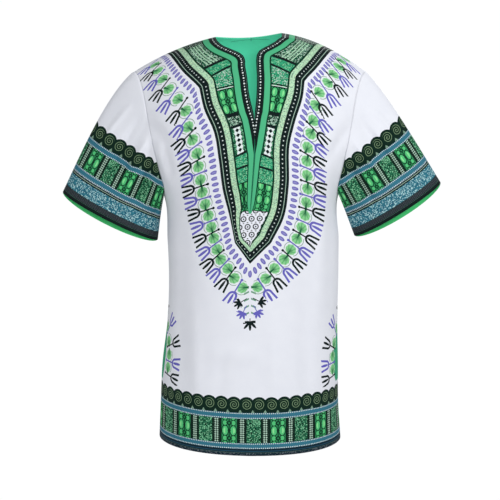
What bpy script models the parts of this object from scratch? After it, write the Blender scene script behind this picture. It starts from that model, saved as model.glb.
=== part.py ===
"""Dashiki shirt, hollow as worn: front, back and two short sleeves. Metres, +Z up, the front faces -Y.

The origin lies between the high points of the shoulders, where the wearer holds the shirt.
Every panel is a sheet laid on one torso form, and thickened inwards.
"""

import math

import bmesh
import bpy
import numpy as np
from mathutils import Vector

# Cloth
WALL = 0.0016
SEAM_GAP = 0.0006
CLOTH_ROUGHNESS = 0.75
MERGE = 0.00002

# Torso form: half widths to each side, and depths to the front and the back, at heights below the neck
TORSO_COLUMNS = ("height", "left", "right", "front", "back")
TORSO = (
    (-0.789, 0.178, 0.178, 0.134, 0.128),
    (-0.704, 0.174, 0.172, 0.131, 0.127),
    (-0.629, 0.170, 0.171, 0.127, 0.123),
    (-0.549, 0.160, 0.169, 0.124, 0.116),
    (-0.459, 0.156, 0.170, 0.122, 0.108),
    (-0.389, 0.158, 0.170, 0.122, 0.105),
    (-0.299, 0.165, 0.169, 0.125, 0.108),
    (-0.239, 0.196, 0.198, 0.127, 0.113),
    (-0.169, 0.222, 0.223, 0.124, 0.116),
    (-0.099, 0.232, 0.232, 0.119, 0.112),
    (-0.049, 0.232, 0.232, 0.115, 0.106),
    (0.031, 0.232, 0.232, 0.112, 0.100),
)
SECTION_SQUARENESS = 2.35

# Shoulder line: how it falls from the side of the neck, and how round the cloth turns over it
NECK_HALF = 0.070
SHOULDER_SLOPE = 0.21
SHOULDER_CURVE = 1.65
NECK_TILT = 0.0040
FRONT_ROUND = 0.170
BACK_ROUND = 0.150

# Heights of the main points
HEM_LEFT = -0.775
HEM_RIGHT = -0.779
HEM_MIDDLE = -0.779
ARMPIT = -0.299
SHOULDER_TIP_OUT = 0.217
ARMHOLE_SCOOP = 0.125
ARMHOLE_EASE = 1.2

# Front neck, from the foot of the slit up to the high points of the shoulders: its middle and half its width
SLIT_COLUMNS = ("height", "middle", "half_width")
SLIT = (
    (-0.318, 0.0000, 0.0000),
    (-0.255, 0.0050, 0.0004),
    (-0.200, 0.0085, 0.0006),
    (-0.136, 0.0078, 0.0008),
    (-0.110, 0.0059, 0.0052),
    (-0.092, 0.0048, 0.0074),
    (-0.070, 0.0038, 0.0089),
    (-0.050, 0.0015, 0.0102),
    (-0.036, 0.0007, 0.0111),
    (-0.030, -0.0010, 0.0141),
    (-0.025, -0.0040, 0.0200),
    (-0.020, -0.0075, 0.0300),
    (-0.016, -0.0085, 0.0395),
    (-0.010, -0.0073, 0.0507),
    (-0.003, -0.0050, 0.0590),
    (0.000, -0.0027, 0.0628),
)
SLIT_MARKS = (-0.318, -0.136, -0.036, 0.000)
SLIT_ROWS = (5, 5, 6)
BACK_NECK_DROP = 0.062

# Sleeves: the ends of the flattened hem, its depth, and how far its front and back hang below the ends
SLEEVE_COLUMNS = ("side", "outer_x", "outer_z", "inner_x", "inner_z", "bulge")
SLEEVE_ENDS = (
    ("left", -0.3570, -0.2950, -0.1770, -0.3880, 0.013),
    ("right", 0.3630, -0.2770, 0.2000, -0.3800, 0.006),
)
SLEEVE_HALF_DEPTH = 0.043
SLEEVE_HANG_FRONT = 0.004
SLEEVE_HANG_BACK = 0.028
SLEEVE_FOLLOW = 0.45
ARMPIT_CLEARANCE = 0.0008
BULGE_SKEW = 0.65
TANGENT_REACH = 0.006

# Grid of each sheet
SIDE_ROWS = 17
ARMHOLE_ROWS = 16
FRONT_COLUMNS = 16
BACK_COLUMNS = 12
SLEEVE_ROWS = 12
BACK_NECK_ROWS = 5
SPACING_EASE = 6

# Largest folds, soft troughs (a negative depth) and ridges. Columns: the two ends, each as a distance
# across and a distance down from the shoulder line, then the fold's width and depth
FRONT_FOLDS = (
    (-0.172, 0.130, -0.150, 0.330, 0.016, -0.0060),
    (-0.128, 0.210, -0.112, 0.560, 0.022, -0.0050),
    (-0.100, 0.300, -0.122, 0.760, 0.026, 0.0045),
    (0.172, 0.150, 0.158, 0.320, 0.015, -0.0050),
    (0.118, 0.260, 0.132, 0.700, 0.024, -0.0040),
    (0.050, 0.420, 0.056, 0.800, 0.024, 0.0030),
    (-0.040, 0.480, -0.052, 0.800, 0.022, -0.0025),
)
BACK_FOLDS = (
    (-0.165, 0.140, -0.140, 0.340, 0.018, -0.0055),
    (-0.090, 0.260, -0.100, 0.720, 0.026, -0.0050),
    (-0.030, 0.330, -0.022, 0.800, 0.024, 0.0040),
    (0.045, 0.300, 0.060, 0.760, 0.026, -0.0050),
    (0.125, 0.300, 0.118, 0.640, 0.022, 0.0035),
    (0.168, 0.150, 0.150, 0.330, 0.016, -0.0050),
)
EDGE_FADE = 6

# The same for the sleeves, with each end as a turn round the sleeve (0 the armpit, 0.5 the top)
# and a share of its length
SLEEVE_FOLDS = (
    (0.16, 0.02, 0.13, 0.62, 0.040, -0.0075),
    (0.23, 0.10, 0.20, 0.62, 0.034, 0.0040),
    (0.32, 0.16, 0.24, 0.72, 0.040, -0.0050),
    (0.84, 0.04, 0.87, 0.62, 0.042, -0.0070),
    (0.70, 0.14, 0.76, 0.72, 0.040, -0.0050),
)

WHITE_CLOTH = (0.84, 0.86, 0.90, 1.0)
SLEEVE_CLOTH = (0.10, 0.34, 0.30, 1.0)


def column(table, columns, name):
    return np.array([row[columns.index(name)] for row in table], float)


def smooth(table, columns, name, at):
    """The named column read at a value of the first one, on a smooth curve through the rows."""
    keys = column(table, columns, columns[0])
    values = column(table, columns, name)
    slopes = np.gradient(values, keys)
    at = min(max(at, keys[0]), keys[-1])
    row = min(int(np.searchsorted(keys, at, side="right")) - 1, len(keys) - 2)
    span = keys[row + 1] - keys[row]
    t = (at - keys[row]) / span
    return (
        (2 * t**3 - 3 * t**2 + 1) * values[row]
        + (t**3 - 2 * t**2 + t) * span * slopes[row]
        + (3 * t**2 - 2 * t**3) * values[row + 1]
        + (t**3 - t**2) * span * slopes[row + 1]
    )


def shoulder_height(x):
    """The shoulder line: level with the origin at the neck's sides, and a little higher on the right."""
    out = abs(x) - NECK_HALF
    tilt = NECK_TILT * math.sin(math.pi * x / SHOULDER_TIP_OUT)
    if out < 0:
        return SHOULDER_SLOPE * NECK_HALF / 2 * (1 - (x / NECK_HALF) ** 2) + tilt
    return tilt - SHOULDER_SLOPE * out - SHOULDER_CURVE * out**2


def drop_of(down, roundness):
    """Height lost below the shoulder line after this much cloth, as it turns over the shoulder."""
    if down < roundness * math.pi / 2:
        return roundness * (1 - math.cos(down / roundness))
    return roundness + down - roundness * math.pi / 2


def down_of(x, z, roundness):
    """The cloth from the shoulder line down to this height, the inverse of drop_of."""
    drop = max(shoulder_height(x) - z, 0)
    if drop < roundness:
        return roundness * math.acos(1 - drop / roundness)
    return drop - roundness + roundness * math.pi / 2


def fold_offset(folds, across, down):
    """Sum of the folds here: each is a soft trough or ridge along its line, and fades at its ends."""
    total = 0.0
    for across_1, down_1, across_2, down_2, width, depth in folds:
        run = (across_2 - across_1, down_2 - down_1)
        length = math.hypot(*run)
        step = (across - across_1, down - down_1)
        along = (step[0] * run[0] + step[1] * run[1]) / length**2
        away = abs(step[0] * run[1] - step[1] * run[0]) / length
        if 0 < along < 1:
            total += depth * math.sin(math.pi * along) * math.exp(-((away / width) ** 2))
    return total


def torso_point(x, down, face):
    """A point of the torso form: face is "front" or "back"."""
    roundness = FRONT_ROUND if face == "front" else BACK_ROUND
    z = shoulder_height(x) - drop_of(down, roundness)
    side = "left" if x < 0 else "right"
    share = min(abs(x) / smooth(TORSO, TORSO_COLUMNS, side, z), 1.0)
    depth = smooth(TORSO, TORSO_COLUMNS, face, z) * math.sqrt(1 - share**SECTION_SQUARENESS)
    if down < roundness * math.pi / 2:
        depth *= math.sin(down / roundness)
    folds = FRONT_FOLDS if face == "front" else BACK_FOLDS
    depth += fold_offset(folds, x, down) * min(1.0, EDGE_FADE * (1 - share)) + SEAM_GAP
    return x, -depth if face == "front" else depth, z


def side_edge(row, side, face):
    """(x, down) of the outer edge of a panel: the side seam, then the armhole up to the shoulder tip."""
    roundness = FRONT_ROUND if face == "front" else BACK_ROUND
    name = "left" if side < 0 else "right"
    if row <= SIDE_ROWS:
        hem = HEM_LEFT if side < 0 else HEM_RIGHT
        z = hem + (ARMPIT - hem) * row / SIDE_ROWS
        x = smooth(TORSO, TORSO_COLUMNS, name, z)
        return side * x, down_of(x, z, roundness)
    turn = (row - SIDE_ROWS) / ARMHOLE_ROWS
    tip = shoulder_height(SHOULDER_TIP_OUT)
    z = ARMPIT + (tip - ARMPIT) * (1 - math.cos(math.pi * turn)) / 2
    full = smooth(TORSO, TORSO_COLUMNS, name, z)
    lean = SHOULDER_TIP_OUT / smooth(TORSO, TORSO_COLUMNS, name, tip)
    ease = 1 + (lean - 1) * (1 - math.cos(math.pi * turn)) / 2
    x = full * (ease - ARMHOLE_SCOOP * math.sin(math.pi * turn) ** ARMHOLE_EASE)
    if row == SIDE_ROWS + ARMHOLE_ROWS:
        return side * SHOULDER_TIP_OUT, 0.0
    return side * x, down_of(x, z, roundness)


def front_middle_edge(row, side):
    """(x, down) of the inner edge of half the front: the middle line, the slit and the neck."""
    if row <= SIDE_ROWS:
        z = HEM_MIDDLE + (SLIT_MARKS[0] - HEM_MIDDLE) * row / SIDE_ROWS
        return 0.0, down_of(0.0, z, FRONT_ROUND)
    left = row - SIDE_ROWS
    stretch = 0
    while left > SLIT_ROWS[stretch]:
        left -= SLIT_ROWS[stretch]
        stretch += 1
    share = left / SLIT_ROWS[stretch]
    z = SLIT_MARKS[stretch] + (SLIT_MARKS[stretch + 1] - SLIT_MARKS[stretch]) * share
    x = smooth(SLIT, SLIT_COLUMNS, "middle", z) + side * smooth(SLIT, SLIT_COLUMNS, "half_width", z)
    if row == SIDE_ROWS + ARMHOLE_ROWS:
        return x, 0.0
    return x, down_of(x, z, FRONT_ROUND)


def back_middle_edge(row, side):
    """(x, down) of the inner edge of half the back: the middle line, then the neck to its side."""
    neck_row = SIDE_ROWS + ARMHOLE_ROWS - BACK_NECK_ROWS
    if row <= neck_row:
        lowest = down_of(0.0, HEM_MIDDLE, BACK_ROUND)
        share = row / neck_row
        return 0.0, lowest + (BACK_NECK_DROP - lowest) * share
    turn = (row - neck_row) / BACK_NECK_ROWS * math.pi / 2
    _, middle, half_width = SLIT[-1]
    return (middle + side * half_width) * math.sin(turn), BACK_NECK_DROP * math.cos(turn)


def panel_point(face, side, middle, share, row):
    """A point of half a panel, from the middle edge (share 0) to the outer edge (share 1)."""
    inner = middle(row, side)
    outer = side_edge(row, side, face)
    turned = math.sin(share * math.pi / 2)
    above_armpit = min(max((row - SIDE_ROWS) / SPACING_EASE, 0), 1)
    share = turned + (share - turned) * above_armpit
    across = inner[0] + (outer[0] - inner[0]) * share
    down = inner[1] + (outer[1] - inner[1]) * share
    roundness = FRONT_ROUND if face == "front" else BACK_ROUND
    heights = [shoulder_height(x) - drop_of(below, roundness) for x, below in (inner, outer)]
    level = down_of(across, heights[0] + (heights[1] - heights[0]) * share, roundness)
    return torso_point(across, level + (down - level) * above_armpit, face)


def sleeve_end(side):
    """The outer and inner ends of a sleeve's hem, and how far its top bulges."""
    row = dict(zip(SLEEVE_COLUMNS, SLEEVE_ENDS[0 if side < 0 else 1]))
    outer = Vector((row["outer_x"], 0.0, row["outer_z"]))
    inner = Vector((row["inner_x"], 0.0, row["inner_z"]))
    return outer, inner, row["bulge"]


def armhole_point(side, step):
    """(x, down, face) round the armhole: from the armpit up its front, then down its back."""
    face = "front" if step <= ARMHOLE_ROWS else "back"
    row = SIDE_ROWS + min(step, 2 * ARMHOLE_ROWS - step)
    return *side_edge(row, side, face), face


def hem_point(side, angle):
    """A point of a sleeve's hem, a flattened ring that hangs lower at the back."""
    outer, inner, _ = sleeve_end(side)
    ends = outer - inner
    below = Vector((-ends.z, 0.0, ends.x)).normalized()
    if below.z > 0:
        below.negate()
    hang = SLEEVE_HANG_FRONT if math.sin(angle) > 0 else SLEEVE_HANG_BACK
    point = (outer + inner) / 2 - ends / 2 * math.cos(angle) + below * hang * abs(math.sin(angle))
    point.y = -SLEEVE_HALF_DEPTH * math.sin(angle)
    return point


def sleeve_point(side, step, along):
    """A point of a sleeve: step counts round it from the armpit, and along runs from seam to hem."""
    angle = math.pi * step / ARMHOLE_ROWS
    x, down, face = armhole_point(side, step)
    start = Vector(torso_point(x, down, face))
    inside = Vector(torso_point(x - side * TANGENT_REACH, down, face))
    if step % ARMHOLE_ROWS == 0:
        start.y = 0.0
        inside.y = 0.0
    end = hem_point(side, angle)
    straight = end - start
    slope = (start.y - inside.y) / TANGENT_REACH
    follow = SLEEVE_FOLLOW * abs(math.sin(angle))
    leave = straight.copy()
    leave.y += (slope * abs(straight.x) - straight.y) * follow
    start += leave.normalized() * SEAM_GAP
    start.x += side * ARMPIT_CLEARANCE * ((1 + math.cos(angle)) / 2) ** 2
    t = along
    point = (
        start * (2 * t**3 - 3 * t**2 + 1)
        + leave * (t**3 - 2 * t**2 + t)
        + end * (3 * t**2 - 2 * t**3)
        + straight * (t**3 - t**2)
    )
    top = ((1 - math.cos(angle)) / 2) ** 2
    out = Vector((-straight.z * side, 0.0, straight.x * side)).normalized()
    point += out * top * sleeve_end(side)[2] * math.sin(math.pi * t**BULGE_SKEW)
    turn = step / (2 * ARMHOLE_ROWS)
    fold = fold_offset(SLEEVE_FOLDS, turn, along)
    point.y -= fold * math.sin(angle)
    return point


def grid(bm, columns, rows, place, outward):
    """A grid of faces with each corner moved to place(column, row), facing along outward(point)."""
    before = set(bm.faces)
    made = bmesh.ops.create_grid(bm, x_segments=columns, y_segments=rows, size=0.5)
    for vert in made["verts"]:
        vert.co = place(round((vert.co.x + 0.5) * columns), round((vert.co.y + 0.5) * rows))
    faces = [face for face in bm.faces if face not in before]
    for face in faces:
        face.normal_update()
    facing = sum(face.normal.dot(outward(face.calc_center_median())) for face in faces)
    if facing < 0:
        bmesh.ops.reverse_faces(bm, faces=faces)


def cloth_piece(name, bm, colour, collection):
    """Makes the sheet one object and thickens it inwards."""
    bmesh.ops.remove_doubles(bm, verts=bm.verts, dist=MERGE)
    mesh = bpy.data.meshes.new(name)
    bm.to_mesh(mesh)
    bm.free()
    mesh.shade_smooth()
    piece = bpy.data.objects.new(name, mesh)
    collection.objects.link(piece)
    wall = piece.modifiers.new("Wall", "SOLIDIFY")
    wall.thickness = WALL
    wall.offset = -1.0
    wall.use_even_offset = True
    material = bpy.data.materials.new(name + "_cloth")
    material.use_nodes = True
    shader = material.node_tree.nodes["Principled BSDF"]
    shader.inputs["Base Color"].default_value = colour
    shader.inputs["Roughness"].default_value = CLOTH_ROUGHNESS
    shader.inputs["Metallic"].default_value = 0.0
    mesh.materials.append(material)
    return piece


def make_panel(name, face, middle, columns, collection):
    """A panel in two half grids, which share the middle line below any slit."""
    rows = SIDE_ROWS + ARMHOLE_ROWS
    ahead = Vector((0, -1, 0) if face == "front" else (0, 1, 0))
    bm = bmesh.new()
    for side in (-1, 1):

        def place(i, j, side=side):
            return panel_point(face, side, middle, i / columns, j)

        grid(bm, columns, rows, place, lambda point: ahead)
    return cloth_piece(name, bm, WHITE_CLOTH, collection)


def make_sleeve(name, side, collection):
    outer, inner, _ = sleeve_end(side)
    middle = (outer + inner) / 2
    armhole = Vector((side * SHOULDER_TIP_OUT, 0.0, (ARMPIT + shoulder_height(SHOULDER_TIP_OUT)) / 2))

    def place(i, j):
        return sleeve_point(side, i, j / SLEEVE_ROWS)

    def outward(point):
        run = middle - armhole
        share = min(max((point - armhole).dot(run) / run.length_squared, 0), 1)
        return point - (armhole + run * share)

    bm = bmesh.new()
    grid(bm, 2 * ARMHOLE_ROWS, SLEEVE_ROWS, place, outward)
    return cloth_piece(name, bm, SLEEVE_CLOTH, collection)


def main():
    for old in list(bpy.data.objects):
        bpy.data.objects.remove(old)
    shirt = bpy.data.collections.new("dashiki_shirt")
    bpy.context.scene.collection.children.link(shirt)
    make_panel("front_panel", "front", front_middle_edge, FRONT_COLUMNS, shirt)
    make_panel("back_panel", "back", back_middle_edge, BACK_COLUMNS, shirt)
    make_sleeve("sleeve_left", -1, shirt)
    make_sleeve("sleeve_right", 1, shirt)


main()
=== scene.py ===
"""Looks of the dashiki shirt: thin printed cotton shells on the torso form of the CAD panels."""

import math

import bpy
import numpy as np
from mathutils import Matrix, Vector

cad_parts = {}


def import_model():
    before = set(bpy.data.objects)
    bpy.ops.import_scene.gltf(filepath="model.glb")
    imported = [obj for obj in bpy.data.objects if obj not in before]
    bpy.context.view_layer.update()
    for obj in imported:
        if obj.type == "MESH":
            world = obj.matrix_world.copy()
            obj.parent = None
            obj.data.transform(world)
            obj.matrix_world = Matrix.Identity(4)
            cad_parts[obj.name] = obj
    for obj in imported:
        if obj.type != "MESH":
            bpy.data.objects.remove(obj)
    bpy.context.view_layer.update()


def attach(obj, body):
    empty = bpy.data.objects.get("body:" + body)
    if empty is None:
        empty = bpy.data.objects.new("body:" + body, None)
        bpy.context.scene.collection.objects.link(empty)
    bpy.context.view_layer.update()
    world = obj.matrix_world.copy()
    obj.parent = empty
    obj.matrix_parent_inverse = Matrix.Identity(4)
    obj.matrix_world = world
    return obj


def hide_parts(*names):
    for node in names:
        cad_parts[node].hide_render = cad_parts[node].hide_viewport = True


# Cloth: its thickness, half the gap at the side seams, and the gap at the armholes
WALL = 0.0016
SEAM_GAP = 0.0001
SLEEVE_SEAM = 0.00015

# Torso form, as in the CAD: height, half width at the left and right, depth to the front and back
TORSO = (
    (-0.789, 0.178, 0.178, 0.134, 0.128),
    (-0.704, 0.174, 0.172, 0.131, 0.127),
    (-0.629, 0.170, 0.171, 0.127, 0.123),
    (-0.549, 0.160, 0.169, 0.124, 0.116),
    (-0.459, 0.156, 0.170, 0.122, 0.108),
    (-0.389, 0.158, 0.170, 0.122, 0.105),
    (-0.299, 0.165, 0.169, 0.125, 0.108),
    (-0.239, 0.196, 0.198, 0.127, 0.113),
    (-0.169, 0.222, 0.223, 0.124, 0.116),
    (-0.099, 0.232, 0.232, 0.119, 0.112),
    (-0.049, 0.232, 0.232, 0.115, 0.106),
    (0.031, 0.232, 0.232, 0.112, 0.100),
)
LEFT, RIGHT, FRONT, BACK = 1, 2, 3, 4
SECTION_SQUARENESS = 2.35

# Shoulders, hem and armholes, as in the CAD
NECK_HALF = 0.070
SHOULDER_SLOPE = 0.21
SHOULDER_CURVE = 1.65
NECK_TILT = 0.0040
ROUND = {"front": 0.170, "back": 0.150}
HEM_LEFT = -0.775
HEM_RIGHT = -0.779
HEM_MIDDLE = -0.779
ARMPIT = -0.299
TIP_OUT = 0.217
ARMHOLE_SCOOP = 0.125
ARMHOLE_EASE = 1.2

# Neck and slit: height, middle, half the width
SLIT = (
    (-0.318, 0.0000, 0.0000),
    (-0.255, 0.0050, 0.0004),
    (-0.200, 0.0085, 0.0006),
    (-0.136, 0.0078, 0.0008),
    (-0.110, 0.0059, 0.0052),
    (-0.092, 0.0048, 0.0074),
    (-0.070, 0.0038, 0.0089),
    (-0.050, 0.0015, 0.0102),
    (-0.036, 0.0007, 0.0111),
    (-0.030, -0.0010, 0.0141),
    (-0.025, -0.0040, 0.0200),
    (-0.020, -0.0075, 0.0300),
    (-0.016, -0.0085, 0.0395),
    (-0.010, -0.0073, 0.0507),
    (-0.003, -0.0050, 0.0590),
    (0.000, -0.0027, 0.0628),
)
MIDDLE, HALF_WIDTH = 1, 2
SLIT_MARKS = (-0.318, -0.136, -0.036, 0.000)
SLIT_ROWS = (5, 5, 6)
BACK_NECK_DROP = 0.062
BACK_NECK_ROWS = 5

# Sleeve on each side: x and z of the hem's outer end and of its inner end, and the bulge of the top
SLEEVE_ENDS = {
    -1: (-0.3570, -0.2950, -0.1770, -0.3880, 0.013),
    1: (0.3630, -0.2770, 0.2000, -0.3800, 0.006),
}
SLEEVE_HALF_DEPTH = 0.043
SLEEVE_HANG_FRONT = 0.004
SLEEVE_HANG_BACK = 0.028
SLEEVE_FOLLOW = 0.45
ARMPIT_CLEARANCE = 0.0008
BULGE_SKEW = 0.65
TANGENT_REACH = 0.006

# Grid: the CAD's rows, the finer rows that each one holds here, columns to a half, rings to a sleeve
SIDE_ROWS = 17
ARMHOLE_ROWS = 16
SPACING_EASE = 6
FINE = 8
COLUMNS = 76
SLEEVE_RUNS = 84

# Folds: two ends as distances across and down, then width and depth; a trough is negative
FOLDS = {
    "front": (
        (-0.204, 0.180, -0.135, 0.280, 0.009, -0.0060),
        (-0.187, 0.258, -0.160, 0.380, 0.0055, -0.0095),
        (-0.176, 0.245, -0.151, 0.350, 0.0055, 0.0060),
        (-0.160, 0.250, -0.142, 0.330, 0.0060, -0.0050),
        (-0.182, 0.230, -0.142, 0.440, 0.011, -0.0075),
        (-0.158, 0.280, -0.134, 0.600, 0.012, 0.0050),
        (-0.140, 0.440, -0.122, 0.780, 0.014, -0.0040),
        (-0.104, 0.560, -0.098, 0.820, 0.013, 0.0022),
        (-0.050, 0.640, -0.060, 0.830, 0.012, -0.0018),
        (0.042, 0.600, 0.054, 0.840, 0.018, 0.0040),
        (0.096, 0.520, 0.112, 0.830, 0.018, -0.0055),
        (0.196, 0.190, 0.138, 0.310, 0.008, -0.0050),
        (0.186, 0.260, 0.162, 0.380, 0.0055, -0.0075),
        (0.168, 0.250, 0.150, 0.520, 0.012, -0.0055),
        (0.142, 0.340, 0.130, 0.640, 0.014, 0.0045),
        (-0.212, 0.050, -0.172, 0.190, 0.013, -0.0035),
        (0.206, 0.060, 0.174, 0.180, 0.013, -0.0035),
        (-0.100, 0.670, 0.040, 0.700, 0.018, 0.0022),
    ),
    "back": (
        (-0.165, 0.140, -0.140, 0.340, 0.018, -0.0055),
        (-0.090, 0.260, -0.100, 0.720, 0.026, -0.0050),
        (-0.030, 0.330, -0.022, 0.800, 0.024, 0.0040),
        (0.045, 0.300, 0.060, 0.760, 0.026, -0.0050),
        (0.125, 0.300, 0.118, 0.640, 0.022, 0.0035),
        (0.168, 0.150, 0.150, 0.330, 0.016, -0.0050),
    ),
}
# On a sleeve the ends are shares of the way round, from the underarm, and of the way to its hem
SLEEVE_FOLDS = (
    (0.06, 0.00, 0.11, 0.70, 0.014, -0.0100),
    (0.13, 0.02, 0.16, 0.62, 0.013, 0.0075),
    (0.19, 0.02, 0.20, 0.78, 0.013, -0.0095),
    (0.25, 0.04, 0.26, 0.55, 0.012, 0.0065),
    (0.31, 0.05, 0.32, 0.85, 0.014, -0.0085),
    (0.37, 0.10, 0.40, 0.60, 0.012, 0.0055),
    (0.89, 0.04, 0.86, 0.60, 0.024, -0.0085),
    (0.80, 0.06, 0.82, 0.56, 0.018, 0.0055),
    (0.72, 0.12, 0.76, 0.70, 0.020, -0.0075),
)
EDGE_FADE = 6

# Print, laid out in metres of cloth: down from the shoulder line and out from the middle
# The neck frame's outer edge on each side, and the rows where it turns a corner
OUTLINE_TOP = ((-0.010, 0.160), (0.024, 0.153), (0.072, 0.142), (0.124, 0.123))
OUTLINE_LEFT = (
    *OUTLINE_TOP,
    (0.172, 0.093),
    (0.216, 0.084),
    (0.262, 0.066),
    (0.316, 0.057),
    (0.372, 0.050),
    (0.427, 0.037),
    (0.475, 0.028),
    (0.517, 0.000),
)
OUTLINE_RIGHT = (
    *OUTLINE_TOP,
    (0.165, 0.100),
    (0.195, 0.097),
    (0.248, 0.082),
    (0.286, 0.073),
    (0.368, 0.071),
    (0.429, 0.062),
    (0.478, 0.039),
    (0.517, 0.000),
)
FRAME_CORNERS = (4, 10)
# How much closer the bands along its outer edge run near the point, at distances down
PINCH_DOWN = (0.385, 0.412, 0.430, 0.450, 0.463, 0.475, 0.490, 0.517)
PINCH = {
    -1: (1.0, 1.15, 1.65, 2.1, 2.0, 1.75, 1.45, 1.2),
    1: (1.0, 1.0, 1.0, 1.0, 1.05, 1.1, 1.15, 1.2),
}
# The strip along the neck and slit narrows to nothing between these distances down
STRIP_DOWN = (0.236, 0.312)
STRIP_WIDTH = (0.0132, 0.0)
# The dark band inside it closes to a point
INNER_DOWN = (0.290, 0.306, 0.330, 0.379, 0.403, 0.418, 0.425)
INNER_WIDTH = (0.0140, 0.0140, 0.0112, 0.0092, 0.0075, 0.0040, 0.0006)
# Lines between the frame's blocks: distance down on the middle line, and slope
BLOCK_LINES = (
    (-0.060, 0.40),
    (0.001, 0.40),
    (0.106, 0.33),
    (0.122, 0.44),
    (0.179, 0.06),
    (0.236, 0.10),
    (0.252, 0.21),
    (0.305, 0.40),
    (0.331, 0.26),
    (0.360, 0.27),
    (0.417, 0.10),
    (0.480, 0.10),
)
# Sprigs round the frame: their angle below level, reach from the frame and spacing at distances down
SPRIG_DOWN = (0.05, 0.17, 0.215, 0.25, 0.285, 0.32, 0.37, 0.405, 0.43, 0.46, 0.485, 0.504, 0.511, 0.517)
SPRIG_ANGLE = (50, 50, 42, 27, 20, 9, 4, 6, 16, 33, 41, 52, 66, 90)
REACH_DOWN = (0.20, 0.42, 0.50, 0.517)
STEM_REACH = {-1: (0.0270, 0.0240, 0.0255, 0.0340), 1: (0.0195, 0.0235, 0.0260, 0.0340)}
DASH_REACH = (0.0115, 0.0115, 0.0135, 0.0190)
GAP_DOWN = (0.15, 0.25, 0.32, 0.39, 0.43, 0.52)
STEM_GAP = {
    -1: (0.0340, 0.0300, 0.0265, 0.0235, 0.0205, 0.0215),
    1: (0.0320, 0.0285, 0.0275, 0.0252, 0.0224, 0.0240),
}
STEM_FIRST = {-1: 1.93, 1: 1.69}
STEM_LENGTH = 0.050
BLOOM_OUT = 0.0123
DASH_GAP = 0.0113
# The faces that carry sprigs: how far out they go, at distances down
LIMIT_DOWN = (0.0, 0.10, 0.19, 0.28, 0.36, 0.42, 0.48, 0.55, 0.60, 0.65)
LIMIT_OUT = (0.225, 0.215, 0.185, 0.155, 0.155, 0.150, 0.125, 0.090, 0.050, 0.030)
# Sprigs below the tip: out, down, angle, kind, length
TIP_SPRIGS = (
    (0.0150, 0.5463, math.radians(57), 1, 0.050),
    (0.0055, 0.5820, math.radians(28), 2, 0.037),
    (0.0065, 0.5955, math.radians(62), 3, 0.031),
    (0.0000, 0.6200, math.radians(90), 4, 0.026),
)
TIP_BLOOM = ((0.0140, 0.561, 0.0, 0, 0),)
# Half ring of sprigs round each side seam: its middle's height above the hem, how far it reaches, the step
# and turn from one sprig to the next, and the share of that turn below its middle
RING_HEIGHT = 0.1600
RING_REACH = 0.104
RING_STEP = 0.0245
RING_TURN = 0.45
RING_LOW_TURN = 0.3


def ring_sprigs(reach, shift, length):
    """Sprigs of the half ring, a shift past each step: (from the seam, up, angle, kind, length)."""
    sprigs = []
    for step in range(-1, 4):
        at = step + shift
        turn = RING_TURN * (at if at > 0 else RING_LOW_TURN * at)
        aside = (math.pi / 2 if shift else 0.0) * (1 if step % 2 else -1)
        sprigs.append((reach * math.cos(turn), RING_STEP * at, turn + aside, (step + 1) % 2, length))
    return np.array(sprigs)


RING_STEMS = ring_sprigs(0.043, 0.0, 0.050)
RING_BLOOMS = ring_sprigs(0.054, 0.5, 0.0)
# Faces below this height carry the hem's bands, and one this near the frame is in its zone
HEM_TOP = 0.1165
ZONE_LAP = 0.004
# Distance round each sleeve hem from the underarm seam to a green speckled block
SLEEVE_PHASE = {-1: 0.1552, 1: 0.1430}
# Print coordinate of what carries no print
FAR = 900.0
MILLIMETRES = 1000
PLAIN, SPRIG, FRAMED, HEMMED = range(4)
MOTIFS = ("stem", "bloom", "dash")

# Layout for a bake: the outer sheet on the left, its inner side on the right, small edge faces in rows above
CHART_SIZE = (0.47, 0.94)
OUTER_AT = (0.01, 0.01)
INNER_AT = (0.51, 0.01)
RIM_AT = (0.02, 0.97)
RIM_COUNT = 500
RIM_ROW = (0.94, 0.006)
RIM_SIZE = (0.0015, 0.004)


def hermite(t, start, leave, end, arrive):
    """A smooth curve from start to end, with its directions at both."""
    return (
        (2 * t**3 - 3 * t**2 + 1) * start
        + (t**3 - 2 * t**2 + t) * leave
        + (3 * t**2 - 2 * t**3) * end
        + (t**3 - t**2) * arrive
    )


def read(table, column, at):
    """One column of a table at the heights given, on a smooth curve through its rows."""
    rows = np.array(table, float)
    keys, values = rows[:, 0], rows[:, column]
    slopes = np.gradient(values, keys)
    at = np.clip(at, keys[0], keys[-1])
    row = np.minimum(np.searchsorted(keys, at, side="right") - 1, len(keys) - 2)
    span = keys[row + 1] - keys[row]
    t = (at - keys[row]) / span
    return hermite(t, values[row], span * slopes[row], values[row + 1], span * slopes[row + 1])


def shoulder_height(x):
    """Height of the shoulder line, which falls away from the neck and tilts a little."""
    out = np.abs(x) - NECK_HALF
    tilt = NECK_TILT * np.sin(np.pi * x / TIP_OUT)
    crown = SHOULDER_SLOPE * NECK_HALF / 2 * (1 - (x / NECK_HALF) ** 2)
    return tilt + np.where(out < 0, crown, -SHOULDER_SLOPE * out - SHOULDER_CURVE * out**2)


def drop_of(down, roundness):
    """Height lost below the shoulder line after this much cloth."""
    turned = roundness * (1 - np.cos(np.minimum(down / roundness, np.pi / 2)))
    return turned + np.maximum(down - roundness * np.pi / 2, 0)


def down_of(x, z, roundness):
    """Cloth between the shoulder line and a height below it: drop_of turned round."""
    drop = np.maximum(shoulder_height(x) - z, 0)
    turned = roundness * np.arccos(1 - np.minimum(drop / roundness, 1))
    return turned + np.maximum(drop - roundness, 0)


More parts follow.
